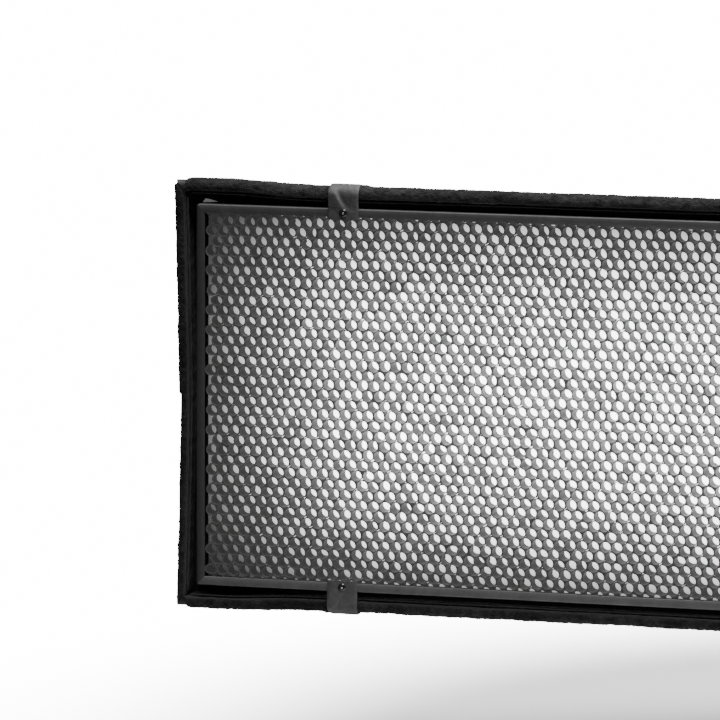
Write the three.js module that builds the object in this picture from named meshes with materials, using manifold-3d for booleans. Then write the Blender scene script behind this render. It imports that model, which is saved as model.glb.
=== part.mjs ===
// Strip softbox with a rigid honeycomb grid, as a scene graph of separate pieces.
//
// Frame: millimetres, +Z up, front facing -Y, the long side along X. The origin is the centre of the
// rear face of the mount insert, where a flash head holds the softbox.
// The pieces fall into five groups:
//   mount   - the insert that the flash head grips, with its retaining ring and screws
//   shell   - speed ring, poles, fabric panels, front lip, loop strips, screen and inner baffle
//   knobs   - two thumb screws that clamp the speed ring on the insert
//   grid    - the rigid frame, its honeycomb core and the riveted feet of the tabs
//   flaps   - the tab ends that fold over the lip and grip its loop strip
import * as THREE from "three";
import { mergeVertices } from "three/addons/utils/BufferGeometryUtils.js";
import Module from "manifold-3d";

const wasm = await Module();
wasm.setup();

// ---- Driving dimensions -------------------------------------------------------------------------

const GAP = 0.4; // clearance left between pieces that touch
const FRONT_WIDTH = 1400;
const FRONT_HEIGHT = 350;
const LIP_FRONT = -480; // Y of the foremost line of the lip
const SHELL_FRONT = -440; // Y where the panels meet the lip
const SHELL_REAR = -19.5; // Y of the panels' rear edge

const CELL_PITCH = 9.525; // one honeycomb tube
const CORE_DEPTH = 15;
const COARSE = 8; // the core's lattice here is this many times coarser than the real tubes
const COARSE_WALL = 3; // gives the coarse lattice the solid share of the thin tubes

const LIP_TO_RAIL = 17; // from the lip's outer face to the grid frame's outer face
const RAIL_FLANGE = 7.2;
const RAIL_WALL = 1.5;
const RAIL_DEPTH = CORE_DEPTH + 2 * (RAIL_WALL + GAP);
const RAIL_REAR_FLANGE = 5;

const TAB_WIDTH = 25.4;
const TAB_THICK = 1.6;
const TAB_X = [-557.5, 0, 557.5];
const TAB_BELOW_RAIL = 2; // how far the tab's foot reaches past the flange
const TAB_BACK = 25; // how far back a flap reaches over the lip

const RING_OUTER = 95;
const RING_BORE = 78;
const RING_REAR = -5;
const RING_FRONT = -19;
const RING_SIDES = 40;

const POLE_RADIUS = 3.175;
const KNOB_Y = -10.8;

const COLOURS = {
  black_fabric: [0x141414, 0.9, 0],
  loop_pile: [0x1a1a1a, 1, 0],
  white_fabric: [0xf2f2f0, 0.8, 0],
  grey_strap: [0x4a4a4a, 0.6, 0],
  frame_paint: [0x2c2c2c, 0.5, 0.2],
  core_plastic: [0x1c1c1c, 0.4, 0],
  rivet_metal: [0x101010, 0.3, 0.6],
  ring_metal: [0x202022, 0.4, 0.8],
  insert_metal: [0xb8b8ba, 0.35, 0.9],
  pole_metal: [0xc4c4c6, 0.35, 0.9],
  rubber: [0x101010, 0.9, 0],
  knob_plastic: [0x0e0e0e, 0.5, 0],
};

// ---- Geometry helpers ---------------------------------------------------------------------------

const X = new THREE.Vector3(1, 0, 0);
const Y = new THREE.Vector3(0, 1, 0);
const Z = new THREE.Vector3(0, 0, 1);

// A closed geometry as a manifold-3d solid.
function solid(geometry) {
  const bare = new THREE.BufferGeometry();
  const source = geometry.index ? geometry.toNonIndexed() : geometry;
  bare.setAttribute("position", source.getAttribute("position").clone());
  const merged = mergeVertices(bare, 1e-4);
  return new wasm.Manifold(
    new wasm.Mesh({
      numProp: 3,
      vertProperties: merged.attributes.position.array,
      triVerts: new Uint32Array(merged.index.array),
    }),
  );
}

// A manifold-3d solid as a geometry.
function geometryOf(made) {
  const mesh = made.getMesh();
  const points = new Float32Array(mesh.numVert * 3);
  for (let i = 0; i < mesh.numVert; i++) {
    points.set(mesh.vertProperties.subarray(i * mesh.numProp, i * mesh.numProp + 3), i * 3);
  }
  return new THREE.BufferGeometry()
    .setAttribute("position", new THREE.BufferAttribute(points, 3))
    .setIndex(new THREE.BufferAttribute(mesh.triVerts, 1));
}

function outline(points) {
  return new THREE.Shape(points.map(([a, b]) => new THREE.Vector2(a, b)));
}

// Points on an arc, its ends included, from angle a0 to a1 in degrees.
function arc(cx, cy, radius, a0, a1, steps) {
  return Array.from({ length: steps + 1 }, (_, i) => {
    const a = THREE.MathUtils.degToRad(a0 + ((a1 - a0) * i) / steps);
    return [cx + radius * Math.cos(a), cy + radius * Math.sin(a)];
  });
}

function extruded(shape, depth) {
  return new THREE.ExtrudeGeometry(shape, { depth, bevelEnabled: false, curveSegments: 12 });
}

// A profile drawn in (Y, Z), extruded along X and centred on x.
function alongX(points, length, x = 0) {
  return extruded(outline(points), length)
    .applyMatrix4(new THREE.Matrix4().makeBasis(Y, Z, X))
    .translate(x - length / 2, 0, 0);
}

// A shape drawn in (X, Z), extruded back from y = front.
function alongY(shape, front, depth) {
  return extruded(shape, depth)
    .applyMatrix4(new THREE.Matrix4().makeBasis(X, Z, Y.clone().negate()))
    .translate(0, front + depth, 0);
}

// A box from its lowest to its highest corner.
function boxed(low, high) {
  const size = high.map((v, i) => v - low[i]);
  const middle = high.map((v, i) => (v + low[i]) / 2);
  return new THREE.BoxGeometry(...size).translate(...middle);
}

// A ring turned round Y from a closed profile of [radius, y] points.
function turned(points, sides) {
  const profile = [...points, points[0]].map(([r, y]) => new THREE.Vector2(r, y));
  return outward(new THREE.LatheGeometry(profile, sides));
}

// Faces are turned round if the solid that they enclose is inside out.
function outward(geometry) {
  const g = geometry.index ? geometry.toNonIndexed() : geometry;
  const p = g.getAttribute("position");
  const [a, b, c] = [new THREE.Vector3(), new THREE.Vector3(), new THREE.Vector3()];
  let volume = 0;
  for (let i = 0; i < p.count; i += 3) {
    a.fromBufferAttribute(p, i);
    b.fromBufferAttribute(p, i + 1);
    c.fromBufferAttribute(p, i + 2);
    volume += a.dot(b.clone().cross(c));
  }
  if (volume >= 0) return g;
  for (let i = 0; i < p.count; i += 3) {
    b.fromBufferAttribute(p, i + 1);
    c.fromBufferAttribute(p, i + 2);
    p.setXYZ(i + 1, c.x, c.y, c.z);
    p.setXYZ(i + 2, b.x, b.y, b.z);
  }
  return g;
}

// A cylinder from a point along a direction.
function rod(from, direction, length, radius, sides) {
  return new THREE.CylinderGeometry(radius, radius, length, sides)
    .translate(0, length / 2, 0)
    .applyQuaternion(new THREE.Quaternion().setFromUnitVectors(Y, direction.clone().normalize()))
    .translate(from.x, from.y, from.z);
}

// A sheet with a thickness, from surface(u, v) with u and v from 0 to 1, thickened by the vector inward.
function sheet(surface, across, down, inward) {
  const rows = [];
  for (let j = 0; j <= down; j++) {
    for (let i = 0; i <= across; i++) rows.push(surface(i / across, j / down));
  }
  const points = [...rows, ...rows.map((p) => p.clone().add(inward))];
  const n = rows.length;
  const at = (i, j, side) => side * n + j * (across + 1) + i;
  const faces = [];
  const quad = (a, b, c, d) => faces.push(a, b, c, a, c, d);
  for (let j = 0; j < down; j++) {
    for (let i = 0; i < across; i++) {
      quad(at(i, j, 0), at(i + 1, j, 0), at(i + 1, j + 1, 0), at(i, j + 1, 0));
      quad(at(i, j + 1, 1), at(i + 1, j + 1, 1), at(i + 1, j, 1), at(i, j, 1));
    }
  }
  for (let i = 0; i < across; i++) {
    quad(at(i, 0, 1), at(i + 1, 0, 1), at(i + 1, 0, 0), at(i, 0, 0));
    quad(at(i, down, 0), at(i + 1, down, 0), at(i + 1, down, 1), at(i, down, 1));
  }
  for (let j = 0; j < down; j++) {
    quad(at(0, j, 0), at(0, j + 1, 0), at(0, j + 1, 1), at(0, j, 1));
    quad(at(across, j, 1), at(across, j + 1, 1), at(across, j + 1, 0), at(across, j, 0));
  }
  const g = new THREE.BufferGeometry();
  g.setAttribute("position", new THREE.Float32BufferAttribute(points.flatMap((p) => p.toArray()), 3));
  g.setIndex(faces);
  return outward(g);
}

// Cuts both ends of a side piece at 45 degrees, so that the four sides meet at the corners.
// half is half the side's length at z = reach, and back is how far short of the corner the piece stops.
function mitred(geometry, half, reach, back) {
  const span = 80;
  const wedge = (side) =>
    alongY(
      outline([
        [side * (half - back + span), reach + span],
        [side * (half - back - span), reach - span],
        [side * (half - back + 3 * span), reach - span],
        [side * (half - back + 3 * span), reach + span],
      ]),
      LIP_FRONT - span,
      4 * span,
    );
  return geometryOf(
    solid(geometry).subtract(solid(outward(wedge(1)))).subtract(solid(outward(wedge(-1)))),
  );
}

// ---- The four sides and the four corners --------------------------------------------------------

// Each side is built as the top one, with Z outward and X along it, and then turned about Y.
const SIDES = [
  { name: "top", turn: 0, length: FRONT_WIDTH, reach: FRONT_HEIGHT / 2 },
  { name: "right", turn: 90, length: FRONT_HEIGHT, reach: FRONT_WIDTH / 2 },
  { name: "bottom", turn: 180, length: FRONT_WIDTH, reach: FRONT_HEIGHT / 2 },
  { name: "left", turn: -90, length: FRONT_HEIGHT, reach: FRONT_WIDTH / 2 },
];

const CORNERS = [
  { name: "top_right", x: 1, z: 1 },
  { name: "bottom_right", x: 1, z: -1 },
  { name: "bottom_left", x: -1, z: -1 },
  { name: "top_left", x: -1, z: 1 },
];

const root = new THREE.Group();

function add(name, geometry, slot, parent = root) {
  const [color, roughness, metalness] = COLOURS[slot];
  const mesh = new THREE.Mesh(geometry, new THREE.MeshStandardMaterial({ color, roughness, metalness }));
  mesh.name = name;
  parent.add(mesh);
  return mesh;
}

function sideGroup(side) {
  const group = new THREE.Group();
  group.rotation.y = THREE.MathUtils.degToRad(side.turn);
  root.add(group);
  return group;
}

// ---- Shell: the seam line that the poles hold out ------------------------------------------------

const SHELL_HALF_REAR = 104;
const SEAM_X = FRONT_WIDTH / 2 - 5;
const SEAM_Z = FRONT_HEIGHT / 2 - 5;
const BOW_X = 0.25; // how far the poles bow the long way, as a share of the spread
const BOW_Z = 0.4;
const PANEL_THICK = 1.4;
const SIDE_PANEL_THICK = 2.4; // measured along X, across a steep slope

// A straight edge from rear to front, and the bowed one that a pole makes of it. s is 0 at the rear.
const spread = (end, s) => SHELL_HALF_REAR + (end - SHELL_HALF_REAR) * s;
const bow = (end, share, s) => (end - SHELL_HALF_REAR) * share * s * (1 - s);
const shellY = (s) => SHELL_REAR + (SHELL_FRONT - SHELL_REAR) * s;
const seamX = (s) => spread(SEAM_X, s) + bow(SEAM_X, BOW_X, s);
const seamZ = (s) => spread(SEAM_Z, s) + bow(SEAM_Z, BOW_Z, s);

// The pole's centre line, which starts well inside the seam at the ring and closes on it at the front.
function polePoint(s) {
  const inside = 14 + 28.5 * Math.pow(1 - Math.min(s, 1), 3);
  return new THREE.Vector3(seamX(s) - inside, shellY(s), seamZ(s) - inside);
}

function poleDirection(s) {
  return polePoint(s + 0.002).sub(polePoint(s - 0.002)).normalize();
}

const at = (corner, point) => new THREE.Vector3(point.x * corner.x, point.y, point.z * corner.z);

// Panels of fabric, straight along their middle and bowed along the seams.
function addPanels() {
  const edge = 3.5; // each panel stops this short of the seam, so that neighbours stay apart
  for (const up of [1, -1]) {
    const surface = (u, v) => {
      const across = 2 * u - 1;
      const z = spread(SEAM_Z, v) + bow(SEAM_Z, BOW_Z, v) * across * across;
      return new THREE.Vector3(across * (seamX(v) - edge), shellY(v), up * z);
    };
    const panel = sheet(surface, 10, 6, new THREE.Vector3(0, 0, -up * PANEL_THICK));
    add(up > 0 ? "panel_top" : "panel_bottom", panel, "black_fabric");
  }
  for (const right of [1, -1]) {
    const surface = (u, v) => {
      const across = 2 * u - 1;
      const x = spread(SEAM_X, v) + bow(SEAM_X, BOW_X, v) * across * across;
      return new THREE.Vector3(right * x, shellY(v), across * (seamZ(v) - edge));
    };
    const panel = sheet(surface, 12, 6, new THREE.Vector3(-right * SIDE_PANEL_THICK, 0, 0));
    add(right > 0 ? "panel_right" : "panel_left", panel, "black_fabric");
  }
}

const POLE_START = 0.006;
const POLE_END = 0.999;

function addPoles() {
  const section = new THREE.Shape(arc(0, 0, POLE_RADIUS, 0, 315, 7).map((p) => new THREE.Vector2(...p)));
  const tipRadius = 5.5;
  for (const corner of CORNERS) {
    const points = Array.from({ length: 13 }, (_, i) =>
      at(corner, polePoint(POLE_START + ((POLE_END - POLE_START) * i) / 12)),
    );
    const path = new THREE.CatmullRomCurve3(points);
    const pole = new THREE.ExtrudeGeometry(section, { steps: 16, bevelEnabled: false, extrudePath: path });
    add("pole_" + corner.name, outward(pole), "pole_metal");
    const along = path.getTangent(1);
    const centre = path.getPoint(1).addScaledVector(along, tipRadius + GAP);
    const tip = new THREE.SphereGeometry(tipRadius, 10, 6).translate(...centre.toArray());
    add("pole_tip_" + corner.name, tip, "rubber");
  }
}

// ---- Front lip ----------------------------------------------------------------------------------

const LOOP_THICK = 1.2;
const STRIP_WIDTH = 38; // from the lip's front to the loop strip's back edge
const BEAD_RADIUS = 7;
const LIP_THICK = 10;
const LIP_SLOPE = 0.145; // the lip's outer wall falls away behind its rolled edge
const LEDGE_FRONT = -455.5;
const LEDGE_BACK = -453.5;
const LEDGE_REACH = 33;
const CORNER_NOTCH = 6; // the loop strips stop this short of the corner

// How far the lip's outer wall has fallen at y, from the crown of the bead.
const fall = (y) => Math.max(0, y - LIP_FRONT - BEAD_RADIUS) * LIP_SLOPE;

function addLip(side, group) {
  const { length, reach } = side;
  const half = length / 2;
  const bead = [LIP_FRONT + BEAD_RADIUS, reach - BEAD_RADIUS];
  const under = BEAD_RADIUS - LOOP_THICK - GAP;
  const lipBack = SHELL_FRONT - GAP;
  const stripBack = LIP_FRONT + STRIP_WIDTH;
  const outside = (y) => reach - fall(y);
  const body = [
    ...arc(...bead, under, 90, 180, 5),
    [LIP_FRONT + LOOP_THICK + GAP, reach - 8.8],
    [LIP_FRONT + 3, reach - LIP_THICK],
    [LEDGE_FRONT, reach - LIP_THICK],
    [LEDGE_FRONT, reach - LEDGE_REACH],
    [LEDGE_BACK, reach - LEDGE_REACH],
    [LEDGE_BACK, outside(lipBack) - 4],
    [lipBack, outside(lipBack) - 4],
    [lipBack, outside(lipBack) - LOOP_THICK - GAP],
  ];
  const lip = mitred(alongX(body, length), half, reach, GAP);
  add("lip_" + side.name, lip, "black_fabric", group);

  const strip = [
    ...arc(...bead, BEAD_RADIUS, 90, 180, 6),
    [LIP_FRONT, reach - BEAD_RADIUS - 1.2],
    [LIP_FRONT + LOOP_THICK, reach - BEAD_RADIUS - 1.2],
    ...arc(...bead, BEAD_RADIUS - LOOP_THICK, 180, 90, 6),
    [stripBack, outside(stripBack) - LOOP_THICK],
    [stripBack, outside(stripBack)],
  ];
  const loop = mitred(alongX(strip, length - 2 * CORNER_NOTCH), half, reach, GAP);
  add("loop_strip_" + side.name, loop, "loop_pile", group);
}

// ---- Grid: frame, core and tabs -----------------------------------------------------------------

const RAIL_FRONT = LIP_FRONT;
const CORE_FRONT = RAIL_FRONT + RAIL_WALL + GAP;
const FOOT_BACK = RAIL_FRONT - 0.3;
const RIVET_RADIUS = 1.6;
const RIVET_HOLE = 2;

// Height of the rivets and of the fold line above the centre, on the top side.
const railReach = (side) => side.reach - LIP_TO_RAIL;
const rivetZ = (side) => railReach(side) - RAIL_FLANGE / 2;
const foldZ = (side) => railReach(side) + 2.5;

function addRail(side, group) {
  const out = railReach(side);
  const back = RAIL_FRONT + RAIL_DEPTH;
  const channel = [
    [RAIL_FRONT, out],
    [RAIL_FRONT, out - RAIL_FLANGE],
    [RAIL_FRONT + RAIL_WALL, out - RAIL_FLANGE],
    [RAIL_FRONT + RAIL_WALL, out - RAIL_WALL],
    [back - RAIL_WALL, out - RAIL_WALL],
    [back - RAIL_WALL, out - RAIL_REAR_FLANGE],
    [back, out - RAIL_REAR_FLANGE],
    [back, out],
  ];
  const length = side.length - 2 * LIP_TO_RAIL;
  let rail = solid(mitred(outward(alongX(channel, length)), length / 2, out, GAP / 2));
  if (side.length === FRONT_WIDTH) {
    for (const x of TAB_X) {
      const hole = rod(new THREE.Vector3(x, RAIL_FRONT - 2, rivetZ(side)), Y, 5, RIVET_HOLE, 10);
      rail = rail.subtract(solid(hole));
    }
  }
  add("grid_rail_" + side.name, geometryOf(rail), "frame_paint", group);
}

// A hexagon standing on a corner.
function hexagon(x, z, corner) {
  return arc(x, z, corner, 30, 330, 5).map((p) => new THREE.Vector2(...p));
}

// The part of a convex outline where sign * coordinate is at most limit.
function cutOff(points, axis, sign, limit) {
  return points.flatMap((p, i) => {
    const q = points[(i + 1) % points.length];
    const beyondP = sign * p[axis] - limit;
    const beyondQ = sign * q[axis] - limit;
    const kept = beyondP <= 0 ? [p] : [];
    if (beyondP * beyondQ >= 0) return kept;
    return [...kept, p.clone().lerp(q, beyondP / (beyondP - beyondQ))];
  });
}

// The honeycomb core, as a coarse lattice of hexagonal cells. The cells along its edge are cut short, so
// that a solid band is left under the frame's flange.
function addCore() {
  const halfWidth = FRONT_WIDTH / 2 - LIP_TO_RAIL - RAIL_WALL - GAP;
  const halfHeight = FRONT_HEIGHT / 2 - LIP_TO_RAIL - RAIL_WALL - GAP;
  const band = RAIL_FLANGE - RAIL_WALL;
  const [clearX, clearZ] = [halfWidth - band, halfHeight - band];
  const pitch = CELL_PITCH * COARSE;
  const rowPitch = (pitch * Math.sqrt(3)) / 2;
  const corner = (pitch - COARSE_WALL) / Math.sqrt(3); // from a hexagon's centre to its corners
  let core = solid(
    boxed([-halfWidth, CORE_FRONT, -halfHeight], [halfWidth, CORE_FRONT + CORE_DEPTH, halfHeight]),
  );
  const whole = Math.abs(THREE.ShapeUtils.area(hexagon(0, 0, corner)));
  const rows = Math.ceil(clearZ / rowPitch);
  const columns = Math.ceil(clearX / pitch);
  for (let row = -rows; row <= rows; row++) {
    for (let column = -columns; column <= columns; column++) {
      const x = (column + (row % 2 === 0 ? 0 : 0.5)) * pitch;
      let hole = hexagon(x, row * rowPitch, corner);
      for (const sign of [1, -1]) {
        hole = cutOff(hole, "x", sign, clearX);
        hole = cutOff(hole, "y", sign, clearZ);
      }
      if (Math.abs(THREE.ShapeUtils.area(hole)) < 0.25 * whole) continue;
      const through = alongY(new THREE.Shape(hole), CORE_FRONT - 1, CORE_DEPTH + 2);
      core = core.subtract(solid(outward(through)));
    }
  }
  add("honeycomb_core", geometryOf(core), "core_plastic");
}

function addTabs(side, group) {
  const bead = [LIP_FRONT + BEAD_RADIUS, side.reach - BEAD_RADIUS];
  const inner = BEAD_RADIUS + GAP;
  const outer = inner + TAB_THICK;
  const flapBack = LIP_FRONT + TAB_BACK;
  const flapUnder = side.reach + GAP;
  TAB_X.forEach((x, i) => {
    const label = side.name + "_" + (i + 1);
    const foot = boxed(
      [x - TAB_WIDTH / 2, FOOT_BACK - TAB_THICK, railReach(side) - RAIL_FLANGE - TAB_BELOW_RAIL],
      [x + TAB_WIDTH / 2, FOOT_BACK, foldZ(side) - 1.2],
    );
    const hole = rod(new THREE.Vector3(x, FOOT_BACK - 4, rivetZ(side)), Y, 8, RIVET_HOLE, 10);
    add("tab_foot_" + label, geometryOf(solid(foot).subtract(solid(hole))), "grey_strap", group);

    const strap = [
      [FOOT_BACK - TAB_THICK, foldZ(side) + 0.2],
      [FOOT_BACK, foldZ(side) + 0.2],
      ...arc(...bead, inner, 180, 90, 6),
      [flapBack, flapUnder],
      [flapBack, flapUnder + TAB_THICK],
      ...arc(...bead, outer, 90, 180, 6),
    ];
    add("tab_flap_" + label, outward(alongX(strap, TAB_WIDTH, x)), "grey_strap", group);

    const face = FOOT_BACK - TAB_THICK - 0.1;
    const rivet = [
      [0, face - 1.3],
      [1.6, face - 1.1],
      [2.8, face - 0.6],
      [3.2, face],
      [RIVET_RADIUS, face],
      [RIVET_RADIUS, RAIL_FRONT + RAIL_WALL],
      [RIVET_RADIUS, RAIL_FRONT + RAIL_WALL + 0.3],
      [0, RAIL_FRONT + RAIL_WALL + 0.3],
    ].map(([r, y]) => new THREE.Vector2(r, y));
    const shape = outward(new THREE.LatheGeometry(rivet, 10)).translate(x, 0, rivetZ(side));
    add("rivet_" + label, shape, "rivet_metal", group);
  });
}

// ---- Screens ------------------------------------------------------------------------------------

const SCREEN_THICK = 1;
const BAFFLE_Y = -250;
const BAFFLE_HALF = [380, 110];
const CORD_RADIUS = 1.5;

function addScreens() {
  const inset = LIP_THICK + 1.8;
  const [w, h] = [FRONT_WIDTH / 2 - inset, FRONT_HEIGHT / 2 - inset];
  const back = LEDGE_FRONT - GAP;
  add("front_screen", boxed([-w, back - SCREEN_THICK, -h], [w, back, h]), "white_fabric");

  // A small tab at the top left corner, which pulls the screen off its ledge.
  const pull = outline([
    [-w, h - 3],
    [-w + 12, h - 3],
    [-w + 10.5, h + 0.2],
    [-w + 1.5, h + 0.2],
  ]);
  const pullFront = back - SCREEN_THICK - GAP - 1.6;
  add("screen_pull_tab", outward(alongY(pull, pullFront, 1.6)), "white_fabric");

  const [bw, bh] = BAFFLE_HALF;
  add("inner_baffle", boxed([-bw, BAFFLE_Y - 0.6, -bh], [bw, BAFFLE_Y + 0.6, bh]), "white_fabric");
  const level = (BAFFLE_Y - SHELL_REAR) / (SHELL_FRONT - SHELL_REAR);
  for (const corner of CORNERS) {
    const from = at(corner, new THREE.Vector3(bw + 0.4, BAFFLE_Y, bh + 0.4));
    const to = at(corner, polePoint(level));
    const way = to.clone().sub(from);
    const length = way.length() - 9;
    const start = from.addScaledVector(way.clone().normalize(), 1.2);
    add("baffle_cord_" + corner.name, rod(start, way, length, CORD_RADIUS, 8), "rubber");
  }
}

// ---- Speed ring and mount -----------------------------------------------------------------------

const SOCKET_RADIUS = 9;
const SOCKET_BORE = 4;
const SOCKET_LENGTH = 36;
const SOCKET_AT = 0.022; // where on the pole's line the socket is centred

// A cylinder along a pole's socket, for the socket itself, its bore or a clearance round it.
function socketRod(corner, radius, length, sides) {
  const middle = at(corner, polePoint(SOCKET_AT));
  const way = at(corner, poleDirection(SOCKET_AT));
  return solid(rod(middle.addScaledVector(way, -length / 2), way, length, radius, sides));
}

function addSpeedRing() {
  let ring = solid(
    turned(
      [
        [RING_BORE, RING_REAR],
        [RING_OUTER - 1.5, RING_REAR],
        [RING_OUTER, RING_REAR - 1.5],
        [RING_OUTER, RING_FRONT + 1.5],
        [RING_OUTER - 1.5, RING_FRONT],
        [RING_BORE, RING_FRONT],
      ],
      RING_SIDES,
    ),
  );
  for (const corner of CORNERS) ring = ring.add(socketRod(corner, SOCKET_RADIUS, SOCKET_LENGTH, 16));
  for (const corner of CORNERS) {
    ring = ring.subtract(socketRod(corner, SOCKET_BORE, 2 * SOCKET_LENGTH, 10));
  }
  // The bore and the rear face are cut true again after the sockets are joined on.
  ring = ring.subtract(solid(rod(new THREE.Vector3(0, -60, 0), Y, 80, RING_BORE, RING_SIDES)));
  ring = ring.subtract(solid(boxed([-150, RING_REAR, -150], [150, RING_REAR + 40, 150])));
  for (const up of [1, -1]) {
    const from = new THREE.Vector3(0, KNOB_Y, up * (RING_BORE - 4));
    ring = ring.subtract(solid(rod(from, Z.clone().multiplyScalar(up), 30, 3.4, 12)));
  }
  add("speed_ring", geometryOf(ring), "ring_metal");
}

function addKnobs() {
  for (const up of [1, -1]) {
    const profile = [
      [0, 0],
      [2.9, 0],
      [2.9, 17.6],
      [6, 17.6],
      [6, 20],
      [8, 21.5],
      [8, 32],
      [6.5, 34],
      [0, 34],
    ].map(([r, y]) => new THREE.Vector2(r, y));
    const knob = outward(new THREE.LatheGeometry(profile, 14))
      .applyQuaternion(new THREE.Quaternion().setFromUnitVectors(Y, Z.clone().multiplyScalar(up)))
      .translate(0, KNOB_Y, up * (RING_BORE + 0.3));
    add(up > 0 ? "lock_knob_top" : "lock_knob_bottom", knob, "knob_plastic");
  }
}

const INSERT_INNER = 50;
const LUG_INNER = 43;
const SCREW_CIRCLE = 72;
const SCREW_ANGLES = [30, 150, 270];

function screwPoint(angle, y) {
  const a = THREE.MathUtils.degToRad(angle);
  return new THREE.Vector3(SCREW_CIRCLE * Math.cos(a), y, SCREW_CIRCLE * Math.sin(a));
}

function addMount() {
  const insertFront = RING_FRONT - 0.2;
  let insert = solid(
    turned(
      [
        [INSERT_INNER, 0],
        [88, 0],
        [88, RING_REAR + 0.5],
        [RING_BORE - 0.5, RING_REAR + 0.5],
        [RING_BORE - 0.5, insertFront],
        [INSERT_INNER, insertFront],
      ],
      RING_SIDES,
    ),
  );
  // Three bayonet lugs inside the bore.
  for (const middle of [90, 210, 330]) {
    const lug = outline([
      ...arc(0, 0, INSERT_INNER + 1, middle - 16, middle + 16, 4),
      ...arc(0, 0, LUG_INNER, middle + 16, middle - 16, 4),
    ]);
    insert = insert.add(solid(outward(alongY(lug, -12, 5))));
  }
  const retainerBack = insertFront - GAP;
  const retainerFront = retainerBack - 2.2;
  let retainer = solid(
    turned(
      [
        [64, retainerBack],
        [82, retainerBack],
        [82, retainerFront],
        [64, retainerFront],
      ],
      RING_SIDES,
    ),
  );
  for (const angle of SCREW_ANGLES) {
    const hole = solid(rod(screwPoint(angle, retainerFront - 2), Y, 14, 2.2, 10));
    insert = insert.subtract(hole);
    retainer = retainer.subtract(hole);
  }
  add("mount_insert", geometryOf(insert), "insert_metal");
  add("retaining_ring", geometryOf(retainer), "ring_metal");
  SCREW_ANGLES.forEach((angle, i) => {
    const head = retainerFront - 0.2;
    const profile = [
      [0, head - 2],
      [2.6, head - 2],
      [3.6, head - 1.1],
      [3.6, head],
      [1.7, head],
      [1.7, head + 10],
      [0, head + 10],
    ].map(([r, y]) => new THREE.Vector2(r, y));
    const place = screwPoint(angle, 0);
    const screw = outward(new THREE.LatheGeometry(profile, 10)).translate(place.x, 0, place.z);
    add("retainer_screw_" + (i + 1), screw, "pole_metal");
  });
}

const COLLAR_HOLE = 86;

// A wall of fabric that closes the shell's square rear opening against the front of the ring.
function addRearCollar() {
  const half = SHELL_HALF_REAR - SIDE_PANEL_THICK - GAP;
  const back = RING_FRONT - GAP;
  let collar = solid(boxed([-half, back - 2, -half], [half, back, half]));
  collar = collar.subtract(solid(rod(new THREE.Vector3(0, -60, 0), Y, 80, COLLAR_HOLE, RING_SIDES)));
  for (const corner of CORNERS) {
    collar = collar.subtract(socketRod(corner, SOCKET_RADIUS + 0.6, SOCKET_LENGTH + 2, 16));
  }
  add("rear_collar", geometryOf(collar), "black_fabric");
}

// ---- The whole ----------------------------------------------------------------------------------

addMount();
addSpeedRing();
addKnobs();
addRearCollar();
addPoles();
addPanels();
addScreens();
addCore();
for (const side of SIDES) {
  const group = sideGroup(side);
  addLip(side, group);
  addRail(side, group);
  if (side.length === FRONT_WIDTH) addTabs(side, group);
}

export default root;
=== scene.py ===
import math

import bmesh
import bpy
import numpy as np
from mathutils import Matrix, Vector


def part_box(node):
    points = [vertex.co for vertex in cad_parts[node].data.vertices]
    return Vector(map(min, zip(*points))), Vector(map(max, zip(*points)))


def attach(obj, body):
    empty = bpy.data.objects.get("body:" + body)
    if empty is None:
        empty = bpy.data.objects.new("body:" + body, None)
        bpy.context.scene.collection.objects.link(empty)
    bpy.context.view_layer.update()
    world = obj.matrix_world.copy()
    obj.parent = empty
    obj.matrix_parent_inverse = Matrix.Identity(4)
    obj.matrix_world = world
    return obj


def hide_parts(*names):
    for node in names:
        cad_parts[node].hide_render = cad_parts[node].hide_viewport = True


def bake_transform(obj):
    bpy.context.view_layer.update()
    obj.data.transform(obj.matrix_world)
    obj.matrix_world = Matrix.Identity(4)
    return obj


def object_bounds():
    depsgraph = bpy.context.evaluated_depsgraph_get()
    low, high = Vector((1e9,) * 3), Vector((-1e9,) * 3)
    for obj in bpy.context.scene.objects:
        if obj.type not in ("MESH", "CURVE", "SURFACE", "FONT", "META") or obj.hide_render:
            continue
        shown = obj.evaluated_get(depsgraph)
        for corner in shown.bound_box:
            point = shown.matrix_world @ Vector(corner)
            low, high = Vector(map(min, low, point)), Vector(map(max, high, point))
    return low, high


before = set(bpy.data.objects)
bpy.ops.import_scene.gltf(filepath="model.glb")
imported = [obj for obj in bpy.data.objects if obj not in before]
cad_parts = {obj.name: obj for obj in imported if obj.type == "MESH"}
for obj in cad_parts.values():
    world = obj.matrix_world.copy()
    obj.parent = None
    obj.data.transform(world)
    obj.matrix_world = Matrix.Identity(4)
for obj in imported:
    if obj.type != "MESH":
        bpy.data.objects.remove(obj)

CAD_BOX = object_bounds()
RNG = np.random.default_rng(655)
MM = 0.001
COARSE = 1

# ---- Driving dimensions, in metres, from the frame ------------------------------------------------

HALF_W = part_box("loop_strip_right")[1].x  # half the softbox's width
HALF_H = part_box("loop_strip_top")[1].z  # half its height
LIP_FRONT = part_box("loop_strip_top")[0].y
LIP_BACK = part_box("lip_top")[1].y
STRIP_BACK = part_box("loop_strip_top")[1].y
RAIL_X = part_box("grid_rail_right")[1].x
RAIL_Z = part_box("grid_rail_top")[1].z
RAIL_FLANGE = RAIL_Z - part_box("grid_rail_top")[0].z
CORE_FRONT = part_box("honeycomb_core")[0].y
CORE_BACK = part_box("honeycomb_core")[1].y
SCREEN_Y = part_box("front_screen")[0].y
SCREEN_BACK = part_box("front_screen")[1].y
SCREEN_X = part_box("front_screen")[1].x
SCREEN_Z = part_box("front_screen")[1].z
SHELL_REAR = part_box("panel_top")[1].y
SHELL_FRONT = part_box("panel_top")[0].y
RING_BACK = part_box("speed_ring")[1].y

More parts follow.
